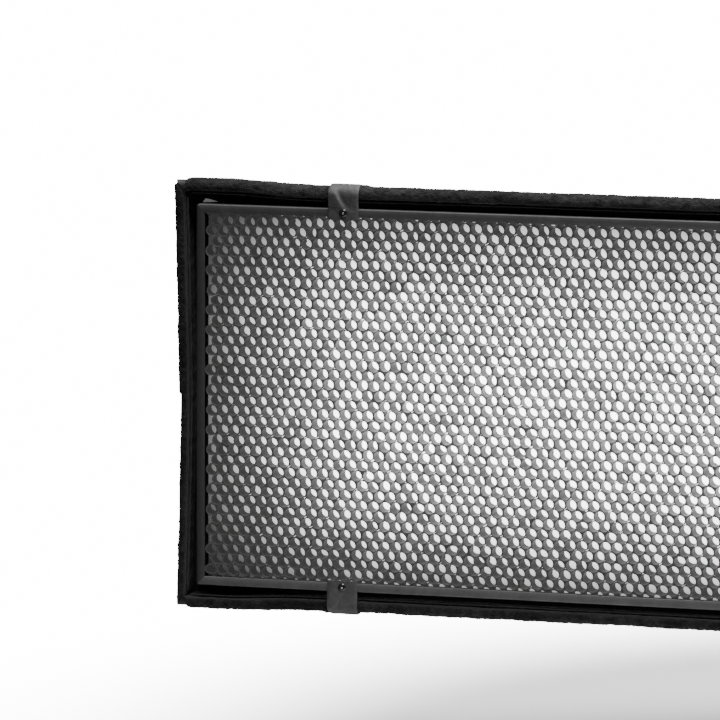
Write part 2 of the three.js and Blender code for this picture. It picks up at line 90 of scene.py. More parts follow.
CELL_PITCH = 9.525 * MM
CELL_WALL = 0.42 * MM
CORE_PLAY = 1.4 * MM  # how far the core lies left of centre in its frame
BEAD_RADIUS = 7 * MM
LIP_SLOPE = 0.145  # the lip's outer wall falls away behind its rolled edge
STRIP_THICK = 1.2 * MM
CORNER_NOTCH = 6 * MM
SOCKET_AT = 0.022  # where the ring's sockets hold the poles, as a share of the way to the front
ON_AXIS = 0.0001  # in millimetres, the radius of a profile's ends that lie on its axis

SIDES = {"top": 0, "right": 90, "bottom": 180, "left": -90}
CORNERS = {"top_right": (1, 1), "bottom_right": (1, -1), "bottom_left": (-1, -1), "top_left": (-1, 1)}
TABS = [f"{side}_{i}" for side in ("top", "bottom") for i in (1, 2, 3)]


# ---- Camera, world, lights and floor --------------------------------------------------------------

def add_camera():
    """Looks at the front top-left corner from the right and from a little above."""
    azimuth, elevation, roll = math.radians(15.56), math.radians(7.69), math.radians(0.2)
    aim = Vector((-0.5433, LIP_FRONT, 0.0343))
    distance = 5.594
    back = Vector((
        math.sin(azimuth) * math.cos(elevation),
        -math.cos(azimuth) * math.cos(elevation),
        math.sin(elevation),
    ))
    data = bpy.data.cameras.new("camera")
    data.sensor_width = 36
    data.lens = 342.9
    data.clip_end = 100
    cam = bpy.data.objects.new("camera", data)
    bpy.context.collection.objects.link(cam)
    cam.location = aim + back * distance
    cam.rotation_mode = "QUATERNION"
    facing = (-back).to_track_quat("-Z", "Y")
    cam.rotation_quaternion = facing @ Matrix.Rotation(roll, 3, "Z").to_quaternion()
    bpy.context.scene.camera = cam


def add_world(seen=20.0, ambient=0.085):
    """A white backdrop for the camera, and a dim even light for everything else."""
    world = bpy.data.worlds.new("studio")
    world.use_nodes = True
    tree = world.node_tree
    tree.nodes.clear()
    path = tree.nodes.new("ShaderNodeLightPath")
    strength = tree.nodes.new("ShaderNodeMix")
    strength.inputs[2].default_value = ambient
    strength.inputs[3].default_value = seen
    background = tree.nodes.new("ShaderNodeBackground")
    output = tree.nodes.new("ShaderNodeOutputWorld")
    tree.links.new(path.outputs["Is Camera Ray"], strength.inputs[0])
    tree.links.new(strength.outputs[0], background.inputs["Strength"])
    tree.links.new(background.outputs[0], output.inputs["Surface"])
    bpy.context.scene.world = world


def add_area(name, place, target, size, power):
    data = bpy.data.lights.new(name, "AREA")
    data.shape = "RECTANGLE"
    data.size, data.size_y = size
    data.energy = power
    lamp = bpy.data.objects.new(name, data)
    lamp.location = place
    lamp.rotation_mode = "QUATERNION"
    lamp.rotation_quaternion = (Vector(target) - Vector(place)).to_track_quat("-Z", "Y")
    bpy.context.collection.objects.link(lamp)


def add_lights():
    add_area("overhead", (0.25, -0.66, 2.4), (0.1, -0.5, 0), (2.6, 1.0), 210)
    add_area("rear_fill", (0.6, 3.0, 1.4), (0, -0.2, 0), (3.0, 1.5), 60)


# ---- Materials ------------------------------------------------------------------------------------

class Shader:
    """A material's node tree, with short ways to add and join nodes. Textures read object coordinates."""

    def __init__(self, name):
        self.material = bpy.data.materials.new(name)
        self.material.use_nodes = True
        self.tree = self.material.node_tree
        self.tree.nodes.clear()
        self.output = self.tree.nodes.new("ShaderNodeOutputMaterial")
        self.bsdf = self.tree.nodes.new("ShaderNodeBsdfPrincipled")
        self.join(self.bsdf.outputs[0], self.output.inputs["Surface"])
        self.place = self.tree.nodes.new("ShaderNodeTexCoord").outputs["Object"]

    def join(self, source, target):
        self.tree.links.new(source, target)

    def set(self, **values):
        for key, value in values.items():
            socket = self.bsdf.inputs[key.replace("_", " ")]
            if isinstance(value, bpy.types.NodeSocket):
                self.join(value, socket)
            else:
                socket.default_value = (*value, 1) if isinstance(value, tuple) else value

    def split(self):
        """The object coordinates' separate sockets."""
        node = self.tree.nodes.new("ShaderNodeSeparateXYZ")
        self.join(self.place, node.inputs[0])
        return node.outputs

    def scaled(self, scale):
        """Object coordinates times a scale for each axis."""
        node = self.tree.nodes.new("ShaderNodeMapping")
        node.inputs["Scale"].default_value = scale
        self.join(self.place, node.inputs["Vector"])
        return node.outputs[0]

    def noise(self, scale, detail=3.0, roughness=0.55, vector=None):
        node = self.tree.nodes.new("ShaderNodeTexNoise")
        node.inputs["Scale"].default_value = scale
        node.inputs["Detail"].default_value = detail
        node.inputs["Roughness"].default_value = roughness
        self.join(vector or self.place, node.inputs["Vector"])
        return node.outputs["Fac"]

    def cells(self, scale):
        node = self.tree.nodes.new("ShaderNodeTexVoronoi")
        node.inputs["Scale"].default_value = scale
        self.join(self.place, node.inputs["Vector"])
        return node.outputs["Distance"]

    def waves(self, scale, direction):
        node = self.tree.nodes.new("ShaderNodeTexWave")
        node.bands_direction = direction
        node.inputs["Scale"].default_value = scale
        self.join(self.place, node.inputs["Vector"])
        return node.outputs["Fac"]

    def math(self, operation, a, b=0.0):
        node = self.tree.nodes.new("ShaderNodeMath")
        node.operation = operation
        for socket, value in zip(node.inputs, (a, b)):
            if isinstance(value, bpy.types.NodeSocket):
                self.join(value, socket)
            else:
                socket.default_value = value
        return node.outputs[0]

    def ramp(self, value, low, high, start=0.0, end=1.0):
        """Runs from low to high, both colours or both numbers, as value goes from start to end."""
        node = self.tree.nodes.new("ShaderNodeValToRGB")
        for stop, place, colour in zip(node.color_ramp.elements, (start, end), (low, high)):
            stop.position = place
            stop.color = (*colour, 1) if isinstance(colour, tuple) else (colour, colour, colour, 1)
        self.join(value, node.inputs[0])
        return node.outputs[0]

    def smooth_step(self, value, start, end):
        """Rises smoothly from 0 to 1 as value goes from start to end."""
        node = self.tree.nodes.new("ShaderNodeMapRange")
        node.interpolation_type = "SMOOTHSTEP"
        node.inputs["From Min"].default_value = start
        node.inputs["From Max"].default_value = end
        self.join(value, node.inputs["Value"])
        return node.outputs[0]

    def bump(self, height, distance, strength=1.0, under=None):
        node = self.tree.nodes.new("ShaderNodeBump")
        node.inputs["Distance"].default_value = distance
        node.inputs["Strength"].default_value = strength
        self.join(height, node.inputs["Height"])
        if under:
            self.join(under, node.inputs["Normal"])
        return node.outputs[0]


def grey(value, warm=0.0):
    return (value * (1 + warm), value, value * (1 - warm))


def black_nylon(s):
    across = s.math("MAXIMUM", s.waves(900, "Y"), s.waves(900, "Z"))
    weave = s.math("MULTIPLY", s.waves(900, "X"), across)
    slub = s.noise(140, 4)
    creases = s.noise(14, 5, 0.6)
    s.set(
        Base_Color=s.ramp(s.noise(9, 4), grey(0.010), grey(0.020), 0.3, 0.7),
        Roughness=s.ramp(slub, 0.46, 0.64, 0.3, 0.7),
        Specular_IOR_Level=0.38,
        Sheen_Weight=0.12,
        Sheen_Roughness=0.4,
        Normal=s.bump(weave, 0.0002, 0.6, s.bump(creases, 0.004, 0.25, s.bump(slub, 0.0004, 0.5))),
    )


def silver_lining(s):
    dimples = s.cells(420)
    s.set(
        Base_Color=s.ramp(s.noise(40, 3), grey(0.50), grey(0.62)),
        Metallic=0.85,
        Roughness=s.ramp(s.noise(200, 3), 0.32, 0.5),
        Normal=s.bump(dimples, 0.0006, 0.8),
    )


def loop_pile(s):
    tufts = s.cells(1100)
    clumps = s.noise(170, 4, 0.6)
    wear = s.noise(32, 4, 0.6)
    colour = s.math("MULTIPLY", s.ramp(clumps, 0.35, 1.0, 0.35, 0.65), s.ramp(wear, 0.014, 0.034, 0.35, 0.65))
    s.set(
        Base_Color=colour,
        Roughness=0.95,
        Specular_IOR_Level=0.15,
        Sheen_Weight=0.2,
        Sheen_Roughness=0.45,
        Sheen_Tint=grey(0.2),
        Normal=s.bump(tufts, 0.0009, 1.0, s.bump(clumps, 0.0016, 0.8)),
    )


def window_glow(s):
    """How brightly the lamp lights each part of the window: full in the middle, fading to its edges."""
    def edge_glow(axis, half, outer, inner):
        inside = s.math("SUBTRACT", half, s.math("ABSOLUTE", s.split()[axis]))
        return s.math("POWER", s.smooth_step(inside, outer, inner), 1.25)

    across = edge_glow("X", RAIL_X - 8 * MM, -28 * MM, 164 * MM)
    down = edge_glow("Z", RAIL_Z + 4 * MM, -22 * MM, 134 * MM)
    return s.math("MULTIPLY", across, down)


def white_cloth(s, glow=0.0, cloud=50, dark=0.72, light=0.82, drape=0.3):
    weave = s.math("MULTIPLY", s.waves(700, "X"), s.waves(700, "Z"))
    s.set(
        Base_Color=s.ramp(s.noise(cloud, 3), grey(dark, 0.01), grey(light, 0.01)),
        Roughness=0.75,
        Sheen_Weight=0.2,
        Emission_Color=(1.0, 1.0, 1.0),
        Emission_Strength=glow,
        Normal=s.bump(weave, 0.00015, 0.5, s.bump(s.noise(25, 3), 0.003, drape)),
    )


def screen_cloth(s):
    """White translucent cloth, lit from behind."""
    cloudy = s.ramp(s.noise(11, 2), 0.9, 1.0, 0.35, 0.65)
    glow = s.math("MULTIPLY", window_glow(s), cloudy)
    white_cloth(s, s.math("MULTIPLY", glow, 8.9), 60, 0.78, 0.84, 0.2)


def grey_strap(s):
    grain = s.cells(1500)
    fibres = s.noise(900, 2, 0.6)
    patches = s.noise(90, 4, 0.6)
    s.set(
        Base_Color=s.ramp(patches, grey(0.040), grey(0.062), 0.3, 0.7),
        Roughness=s.ramp(fibres, 0.5, 0.7, 0.3, 0.7),
        Specular_IOR_Level=0.4,
        Sheen_Weight=0.15,
        Sheen_Roughness=0.4,
        Normal=s.bump(grain, 0.0004, 0.6, s.bump(fibres, 0.0003, 0.6, s.bump(patches, 0.0008, 0.5))),
    )


def frame_paint(s, dark, light):
    """Charcoal powder coat, with its fine orange peel and a few rubbed patches."""
    peel = s.noise(1400, 2, 0.5)
    rubbed = s.noise(60, 5, 0.65)
    s.set(
        Base_Color=s.ramp(rubbed, grey(dark), grey(light), 0.35, 0.7),
        Roughness=s.ramp(rubbed, 0.55, 0.4, 0.3, 0.7),
        Specular_IOR_Level=0.5,
        Normal=s.bump(peel, 0.00012, 0.6),
    )


def straw_plastic(s):
    """Smoky plastic. A painted glow, stronger where the window glows, stands in for the little of the lamp's
    light that it carries to its front rims.
    """
    tint = s.noise(130, 2)
    drawn = s.noise(1, 3, 0.6, s.scaled((900, 60, 900)))
    s.set(
        Base_Color=s.ramp(tint, grey(0.035), grey(0.055), 0.35, 0.65),
        Roughness=s.ramp(drawn, 0.26, 0.38, 0.3, 0.7),
        Specular_IOR_Level=0.008,
        Emission_Color=(1.0, 1.0, 1.0),
        # painted glow: this emission stands in for lamp light carried through the plastic
        Emission_Strength=s.math("ADD", s.math("MULTIPLY", window_glow(s), 0.04), 0.03),
        Normal=s.bump(drawn, 0.0001, 0.5),
    )


def rivet_black(s):
    s.set(
        Base_Color=s.ramp(s.noise(500, 3), grey(0.008), grey(0.016)),
        Metallic=0.3,
        Roughness=s.ramp(s.noise(800, 3), 0.18, 0.3),
        Coat_Weight=0.3,
        Normal=s.bump(s.noise(900, 2), 0.00006, 0.5),
    )


def bright_steel(s):
    drawn = s.noise(1, 3, 0.6, s.scaled((60, 60, 900)))
    s.set(
        Base_Color=s.ramp(drawn, grey(0.46), grey(0.60)),
        Metallic=1.0,
        Roughness=s.ramp(drawn, 0.22, 0.38),
        Normal=s.bump(drawn, 0.00005, 0.5),
    )


def turned_metal(s, dark, light, roughness, metallic):
    """Metal with the fine rings that a lathe leaves round Y."""
    x, z = s.split()["X"], s.split()["Z"]
    radius = s.math("SQRT", s.math("ADD", s.math("MULTIPLY", x, x), s.math("MULTIPLY", z, z)))
    vector = s.tree.nodes.new("ShaderNodeCombineXYZ")
    s.join(radius, vector.inputs[0])
    rings = s.noise(2200, 2, 0.6, vector.outputs[0])
    patches = s.noise(45, 4)
    s.set(
        Base_Color=s.ramp(patches, grey(dark), grey(light), 0.3, 0.7),
        Metallic=metallic,
        Roughness=s.ramp(rings, roughness - 0.08, roughness + 0.08, 0.3, 0.7),
        Normal=s.bump(rings, 0.00008, 0.5, s.bump(s.noise(900, 2), 0.00008, 0.4)),
    )


def rubber(s):
    s.set(
        Base_Color=s.ramp(s.noise(200, 4), grey(0.012), grey(0.022)),
        Roughness=s.ramp(s.noise(300, 3), 0.7, 0.9),
        Normal=s.bump(s.noise(1200, 2), 0.0002, 0.5),
    )


def knob_plastic(s):
    s.set(
        Base_Color=s.ramp(s.noise(150, 4), grey(0.011), grey(0.019)),
        Roughness=s.ramp(s.noise(400, 3), 0.42, 0.58),
        Normal=s.bump(s.cells(2000), 0.00015, 0.6),
    )


def thread(s):
    s.set(
        Base_Color=s.ramp(s.noise(900, 2), grey(0.03), grey(0.07)),
        Roughness=0.7,
        Sheen_Weight=0.3,
        Normal=s.bump(s.waves(2500, "DIAGONAL"), 0.0002, 0.8),
    )


def floor_paint(s):
    """Pale floor that fades out into the white backdrop."""
    s.set(
        Base_Color=s.ramp(s.noise(3, 4), grey(0.80), grey(0.84)),
        Roughness=0.6,
        Normal=s.bump(s.noise(60, 4), 0.001, 0.1),
    )
    node = s.tree.nodes.new("ShaderNodeVectorMath")
    node.operation = "LENGTH"
    s.join(s.place, node.inputs[0])
    clear = s.tree.nodes.new("ShaderNodeBsdfTransparent")
    mix = s.tree.nodes.new("ShaderNodeMixShader")
    s.join(s.smooth_step(node.outputs["Value"], 0.6, 1.1), mix.inputs[0])
    s.join(s.bsdf.outputs[0], mix.inputs[1])
    s.join(clear.outputs[0], mix.inputs[2])
    s.join(mix.outputs[0], s.output.inputs["Surface"])


def made(name, fill, *values):
    """A new material, its shader filled in by one of the functions above."""
    shader = Shader(name)
    fill(shader, *values)
    return shader.material


MATERIALS = {fill.__name__: made(fill.__name__, fill) for fill in (
    black_nylon, silver_lining, loop_pile, screen_cloth, white_cloth, grey_strap, straw_plastic,
    rivet_black, bright_steel, rubber, knob_plastic, thread, floor_paint,
)}
# The pull tape is white cloth with a painted glow, standing in for the lamp's light shining through it from
# behind the screen.
MATERIALS["lit_tape"] = made("lit_tape", white_cloth, 0.12)
MATERIALS["frame_paint"] = made("frame_paint", frame_paint, 0.050, 0.074)
# The side rails' copy of the powder coat is darker as painted shade, not a darker paint.
MATERIALS["frame_paint_shaded_sides"] = made("frame_paint_shaded_sides", frame_paint, 0.019, 0.030)
MATERIALS["ring_metal"] = made("ring_metal", turned_metal, 0.018, 0.030, 0.42, 0.6)
MATERIALS["insert_metal"] = made("insert_metal", turned_metal, 0.50, 0.60, 0.34, 1.0)


# ---- Mesh helpers ---------------------------------------------------------------------------------

def mesh_object(name, vertices, faces, *materials, slots=None):
    """A smooth mesh, creased where it turns by more than 50 degrees. slots is each face's material."""
    mesh = bpy.data.meshes.new(name)
    mesh.from_pydata(vertices, [], faces)
    mesh.polygons.foreach_set("use_smooth", np.ones(len(mesh.polygons), bool))
    mesh.set_sharp_from_angle(angle=math.radians(50))
    for material in materials:
        mesh.materials.append(MATERIALS[material])
    if slots is not None:
        mesh.polygons.foreach_set("material_index", slots)
    mesh.update()
    piece = bpy.data.objects.new(name, mesh)
    bpy.context.collection.objects.link(piece)
    return piece


def swept(name, sections, material, ring=False):
    """A solid through closed sections, an array of (section, point, xyz). ring joins the last to the first."""
    count, around = sections.shape[:2]
    index = np.arange(count * around).reshape(count, around)
    along = np.roll(index, -1, 0) if ring else index[1:]
    here = index if ring else index[:-1]
    quads = np.stack([here, np.roll(here, -1, 1), np.roll(along, -1, 1), along], -1).reshape(-1, 4)
    faces = quads.tolist()
    if not ring:
        faces += [index[0][::-1].tolist(), index[-1].tolist()]
    piece = mesh_object(name, sections.reshape(-1, 3).tolist(), faces, material)
    face_outward(piece)
    return piece


def face_outward(piece):
    """Turns a closed mesh's faces round if the volume they enclose is negative."""
    work = bmesh.new()
    work.from_mesh(piece.data)
    if work.calc_volume(signed=True) < 0:
        bmesh.ops.reverse_faces(work, faces=work.faces)
        work.to_mesh(piece.data)
    work.free()


def turned(name, profile, material, point=(0, 0, 0), way=(0, 1, 0), sides=72, flute=None):
    """A solid turned from (radius, distance along way) points in mm. flute(angles, along) scales radii."""
    angles = np.linspace(0, 2 * math.pi, sides, endpoint=False)
    rows = []
    for radius, along in profile:
        radii = np.full(sides, radius * MM)
        if flute:
            radii = radii * flute(angles, along)
        rows.append(np.stack([radii * np.cos(angles), np.full(sides, along * MM), radii * np.sin(angles)], -1))
    turn = Vector((0, 1, 0)).rotation_difference(Vector(way)).to_matrix()
    points = np.array(rows) @ np.array(turn).T + np.array(point)
    hollow = min(profile[0][0], profile[-1][0]) > ON_AXIS
    return swept(name, points, material, ring=hollow)


def combined(piece, tool, operation):
    """Joins or cuts piece with another closed object, which is then removed."""
    modifier = piece.modifiers.new("combine", "BOOLEAN")
    modifier.operation = operation
    modifier.solver = "EXACT"
    modifier.object = tool
    bpy.context.view_layer.update()
    result = piece.evaluated_get(bpy.context.evaluated_depsgraph_get())
    mesh = bpy.data.meshes.new_from_object(result)
    piece.modifiers.clear()
    piece.data = mesh
    bpy.data.objects.remove(tool)


def drill(piece, material, radius, start, end, point=(0, 0, 0), way=(0, 1, 0), sides=32):
    """Cuts a round hole in piece, from start to end (in mm) along a way from point."""
    line = [(ON_AXIS, start), (radius, start), (radius, end), (ON_AXIS, end)]
    combined(piece, turned("drill", line, material, point, way, sides), "DIFFERENCE")


def recoat(piece, material):
    piece.data.materials.clear()
    piece.data.materials.append(MATERIALS[material])


def machined(piece, material, edge):
    """Finishes a part that has been cut: flat faces with narrow bevelled edges, in one material."""
    recoat(piece, material)
    piece.data.polygons.foreach_set("use_smooth", np.zeros(len(piece.data.polygons), bool))
    modifier = piece.modifiers.new("bevel", "BEVEL")
    modifier.width = edge
    modifier.segments = 1
    modifier.limit_method = "ANGLE"
    modifier.angle_limit = math.radians(40)
    modifier.harden_normals = True


def turn_matrix(side):
    return np.array(Matrix.Rotation(math.radians(SIDES[side]), 3, "Y"))


def placed(side, along, section):
    """Points of a side's sections, (y, height) pairs at each place along it, turned to that side."""
    return np.stack([along, section[..., 0], section[..., 1]], -1) @ turn_matrix(side).T


def settle(piece, body, slot, *nodes):
    """Sets a finished piece on the body it rides on and hides the CAD nodes it stands for. slot, its finish, is
    not used.
    """
    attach(piece, body)
    if nodes:
        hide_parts(*nodes)
    return piece


def ripple(shape, smoothing):
    """Seeded noise on a grid, smoothed by a moving average along each axis, between about -1 and 1."""
    field = RNG.standard_normal(shape)
    for axis, width in enumerate(smoothing):
        if width > 1:
            kernel = np.hanning(width + 2)[1:-1]
            kernel /= kernel.sum()
            field = np.apply_along_axis(lambda row: np.convolve(row, kernel, "same"), axis, field)
    return field / (2.2 * field.std())


# ---- Front lip ------------------------------------------------------------------------------------

def lip_half(side):
    """(half the side's length, distance from the centre to its outer face)"""
    return (HALF_W, HALF_H) if side in ("top", "bottom") else (HALF_H, HALF_W)


def swell(side, along):
    """How far the lip stands out from its straight line: it flares towards the corners."""
    half, _ = lip_half(side)
    to_corner = half - np.abs(along)
    if side in ("top", "bottom"):
        flare = np.clip((115 * MM - to_corner) / (75 * MM), 0, 1)
        return 0.5 * MM + 2.9 * MM * flare**2 * (3 - 2 * flare)
    return 3.8 * MM * np.clip(np.abs(along) / (170 * MM), 0, 1) ** 1.3 - 0.9 * MM


def corner_reach(side):
    """How far past its own corner a side must run to meet its flared neighbour."""
    neighbour = "left" if side in ("top", "bottom") else "top"
    return float(swell(neighbour, np.array(lip_half(neighbour)[0])))


def arc_points(centre, radius, start, end, count):
    angles = np.radians(np.linspace(start, end, count))
    return np.stack([centre[0] + radius * np.cos(angles), centre[1] + radius * np.sin(angles)], -1)


def resampled(points, step):
    """Points along a polyline, about step apart, its ends kept."""
    lengths = np.r_[0, np.cumsum(np.linalg.norm(np.diff(points, axis=0), axis=1))]
    places = np.linspace(0, lengths[-1], max(2, round(lengths[-1] / step) + 1))
    return np.stack([np.interp(places, lengths, points[:, i]) for i in (0, 1)], -1)


def fall(y):
    """How far the lip's outer wall has dropped at y, from the crown of the bead."""
    return max(0, y - LIP_FRONT - BEAD_RADIUS) * LIP_SLOPE


def strip_section(reach):
    """The loop strip's outer and inner lines, both from the front edge round the bead to the back."""
    centre = (LIP_FRONT + BEAD_RADIUS, reach - BEAD_RADIUS)
    back = reach - fall(STRIP_BACK)
    outer = np.vstack([
        [[LIP_FRONT + 0.2 * MM, centre[1] - 1.4 * MM]],
        arc_points(centre, BEAD_RADIUS, 180, 82, 16),
        [[STRIP_BACK, back]],
    ])
    inner = np.vstack([
        [[LIP_FRONT + STRIP_THICK, centre[1] - 1.4 * MM]],
        arc_points(centre, BEAD_RADIUS - STRIP_THICK, 180, 82, 8),
        [[STRIP_BACK, back - STRIP_THICK]],
    ])
    return outer, inner


def add_lip_binding(side):
    """A narrow bound edge along the lip's inner corner."""
    half, reach = lip_half(side)
    centre = (LIP_FRONT + 2.6 * MM, reach - 11.6 * MM)
    ring = arc_points(centre, 0.75 * MM, 0, 360, 9)[:-1]
    count = round(2 * half / (8 * MM))
    shares = np.linspace(-1, 1, count)[:, None]
    section = np.broadcast_to(ring, (count, 8, 2)).copy()
    along = shares * (half - (reach - section[..., 1]) - 1 * MM)
    section[..., 1] += swell(side, along) + 0.25 * MM * ripple((count, 1), (7, 1))
    binding = swept(f"lip_{side}_binding", placed(side, along, section), "black_nylon")
    settle(binding, "shell", "black_fabric")


def tab_spots(side):
    """Where the tabs cross a side, measured along it."""
    lows_highs = [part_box(f"tab_foot_{tab}") for tab in TABS if tab.startswith(side)]
    return [(low.x + high.x) / 2 * (1 if side == "top" else -1) for low, high in lows_highs]


def add_loop_strip(side):
    half, reach = lip_half(side)
    outer, inner = strip_section(reach)
    outer = resampled(outer, 1.0 * MM * COARSE)
    count = round(2 * half / (1.25 * MM * COARSE))
    tangent = np.gradient(outer, axis=0)
    normal = np.stack([-tangent[:, 1], tangent[:, 0]], -1)
    normal /= np.linalg.norm(normal, axis=1)[:, None]
    if normal[-1][1] < 0:
        normal = -normal
    pile = 0.28 * MM * RNG.standard_normal((count, len(outer))).clip(-1.6, 1.6)
    for smoothing in ((9, 7), (41, 9)):
        pile += 0.35 * MM * ripple((count, len(outer)), smoothing)
    pile[:, :2] *= 0.4
    raised = outer[None] + normal[None] * (0.35 * MM + pile)[..., None]
    section = np.concatenate([raised, np.broadcast_to(inner[::-1], (count, len(inner), 2))], 1)
    share = np.linspace(-1, 1, count)[:, None]
    notch = CORNER_NOTCH if side in ("top", "bottom") else CORNER_NOTCH / 3
    inset = np.maximum(reach - section[..., 1], notch)
    along = share * (half - inset)
    # the pile is rucked up beside each tab's right edge
    rucks = sum(np.exp(-(((along - x - 15 * MM) / (3 * MM)) ** 2)) for x in tab_spots(side))
    section[..., 1] += 1.3 * MM * rucks * np.clip(1 - (reach - section[..., 1]) / (7 * MM), 0, 1)
    if side in ("top", "bottom"):
        # the long strips' ends are rounded off where they stop short of the corner
        radius = 5 * MM
        near = np.clip(1 - (half - notch - np.abs(along)) / radius, 0, 1)
        drop = radius * (1 - np.sqrt(1 - near**2))
        section[..., 1] -= drop * np.clip(1 - (reach - section[..., 1]) / (12 * MM), 0, 1)
    else:
        # the short strips are lapped halfway, where the upper one lies over the lower one
        lap = 0.5 * (1 + np.tanh(along * (1 if side == "left" else -1) / (0.8 * MM)))
        section[..., 1] += 1.8 * MM * (lap - 1) * np.clip(1 - (reach - section[..., 1]) / (9 * MM), 0, 1)
    section[..., 1] += swell(side, along)
    strip = swept(f"loop_strip_{side}_pile", placed(side, along, section), "loop_pile")
    settle(strip, "shell", "loop_pile", f"loop_strip_{side}")


def add_lip_body(side):
    """The nylon under the strip: its front roll, inner face, ledge for the screen and outer wall."""
    half, reach = lip_half(side)
    centre = (LIP_FRONT + BEAD_RADIUS, reach - BEAD_RADIUS)
    inner = reach - 10 * MM
    under = BEAD_RADIUS - STRIP_THICK - 0.2 * MM
    ledge_front, ledge_back = SCREEN_BACK + 0.4 * MM, SCREEN_BACK + 2.4 * MM
    outside = reach - fall(LIP_BACK)
    line = np.vstack([
        arc_points(centre, under, 90, 180, 8),
        arc_points((LIP_FRONT + 3.2 * MM, inner + 1.9 * MM), 1.9 * MM, 180, 270, 5),
        [[SCREEN_BACK - 0.6 * MM, inner], [ledge_front, inner - 0.6 * MM]],
        [[ledge_front, reach - 33 * MM], [ledge_back, reach - 33 * MM], [ledge_back, outside - 4 * MM]],
        [[LIP_BACK, outside - 4 * MM], [LIP_BACK, outside - STRIP_THICK - 0.2 * MM]],
    ])
    count = round(2 * half / (6 * MM))
    share = np.linspace(-1, 1, count)[:, None]
    section = np.broadcast_to(line, (count, len(line), 2)).copy()
    along = share * (half + corner_reach(side) - (reach - section[..., 1]))
    puckers = 0.35 * MM * ripple((count, len(line)), (5, 3))
    section[..., 1] += puckers * (section[..., 0] < SCREEN_BACK)
    section[..., 1] += swell(side, along)
    body = swept(f"lip_{side}_nylon", placed(side, along, section), "black_nylon")
    settle(body, "shell", "black_fabric", f"lip_{side}")


# ---- Grid -----------------------------------------------------------------------------------------

def add_rail(side):
    """A channel of bent sheet metal, mitred to its neighbours, with rounded edges and outer corners."""
    out = RAIL_Z if side in ("top", "bottom") else RAIL_X
    half = RAIL_X if side in ("top", "bottom") else RAIL_Z
    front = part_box(f"grid_rail_{side}")[0].y
    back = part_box(f"grid_rail_{side}")[1].y
    wall, radius, corner = 1.5 * MM, 1.3 * MM, 3.2 * MM
    line = np.vstack([
        [[front + 0.3 * MM, out - RAIL_FLANGE], [front, out - RAIL_FLANGE + 0.3 * MM]],
        arc_points((front + radius, out - radius), radius, 180, 90, 6),
        arc_points((back - radius, out - radius), radius, 90, 0, 6),
        [[back, out - 5 * MM], [back - wall, out - 5 * MM], [back - wall, out - wall]],
        [[front + wall, out - wall], [front + wall, out - RAIL_FLANGE]],
    ])
    end = corner / half
    shares = np.r_[
        np.linspace(-1, end - 1, 7),
        np.linspace(end - 1, 1 - end, 160)[1:-1],
        np.linspace(1 - end, 1, 7),
    ]
    section = np.broadcast_to(line, (len(shares), len(line), 2)).copy()
    inset = np.maximum(out - section[..., 1], corner * (1 - math.sqrt(0.5)))
    along = shares[:, None] * (half - inset - 0.06 * MM)
    over = np.clip(np.abs(along) - (half - corner), 0, corner)
    rounded = out - corner + np.sqrt(corner**2 - over**2)
    section[..., 1] = np.minimum(section[..., 1], rounded)
    section[..., 1] += 0.12 * MM * ripple((len(shares), 1), (25, 1)) * (np.abs(shares[:, None]) < 0.98)
    # the side rails take the darker copy of the paint, which is painted shade
    paint = "frame_paint" if side in ("top", "bottom") else "frame_paint_shaded_sides"
    rail = swept(f"grid_rail_{side}_channel", placed(side, along, section), paint)
    settle(rail, "grid", "frame_paint", f"grid_rail_{side}")


def straw_centres():
    """Centres of the straws as (x, z): close-packed rows, the outer two half hidden by the rails."""
    row_pitch = CELL_PITCH * math.sqrt(3) / 2
    rows = int((2 * (RAIL_Z - RAIL_FLANGE) - CELL_PITCH) / row_pitch) + 3
    straws = int(2 * (RAIL_X - RAIL_FLANGE) / CELL_PITCH)
    for row in range(rows):
        z = ((rows - 1) / 2 - row) * row_pitch
        stagger = 0.25 * CELL_PITCH * (1 if row % 2 else -1)
        for column in range(straws):
            yield (column - (straws - 1) / 2) * CELL_PITCH + stagger - CORE_PLAY, z


def add_honeycomb(parts=4):
    """Thousands of thin straws, each a little out of round and out of line, in a few meshes."""
    sides = 16 // COARSE
    angles = np.linspace(0, 2 * math.pi, sides, endpoint=False)
    circle = np.stack([np.cos(angles), np.sin(angles)], -1)
    centres = np.array(list(straw_centres()))
    outer, inner = CELL_PITCH / 2 + 0.04 * MM, CELL_PITCH / 2 - CELL_WALL
    order = np.argsort(centres[:, 0], kind="stable")
    core_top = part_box("honeycomb_core")[1].z
    for part, chosen in enumerate(np.array_split(centres[order], parts)):
        n = len(chosen)
        lean = (0.5 * MM * RNG.standard_normal((n, 2))).clip(-1.1 * MM, 1.1 * MM)
        shift = 0.12 * MM * RNG.standard_normal((n, 2))
        oval = 0.05 * RNG.standard_normal((n, 2))
        tilt = RNG.uniform(0, math.pi, (n, 2))
        front_y = CORE_FRONT + (0.25 * MM * RNG.standard_normal(n)).clip(-0.35 * MM, 0.6 * MM)
        rings = []
        for end, radius in ((0, outer), (0, inner), (1, inner), (1, outer)):
            wave = 1 + oval[:, end, None] * np.cos(2 * (angles[None] - tilt[:, end, None]))
            flat = radius * wave[..., None] * circle[None]
            offset = chosen + shift - lean * 0.5 if end == 0 else chosen + shift + lean * 0.5
            y = front_y if end == 0 else np.full(n, CORE_BACK)
            ring = np.empty((n, sides, 3))
            ring[..., 0] = offset[:, None, 0] + flat[..., 0]
            ring[..., 1] = y[:, None]
            limit = core_top - (0 if radius == outer else CELL_WALL)
            ring[..., 2] = (offset[:, None, 1] + flat[..., 1]).clip(-limit, limit)
            rings.append(ring)
        points = np.stack(rings, 1)
        index = np.arange(n * 4 * sides).reshape(n, 4, sides)
        following = np.roll(index, -1, 1)
        quads = np.stack([index, following, np.roll(following, -1, 2), np.roll(index, -1, 2)], -1)
        straws = mesh_object(
            f"honeycomb_straws_{part + 1}",
            points.reshape(-1, 3).tolist(),
            quads.reshape(-1, 4).tolist(),
            "straw_plastic",
        )
        face_outward(straws)
        settle(straws, "grid", "core_plastic", "honeycomb_core")


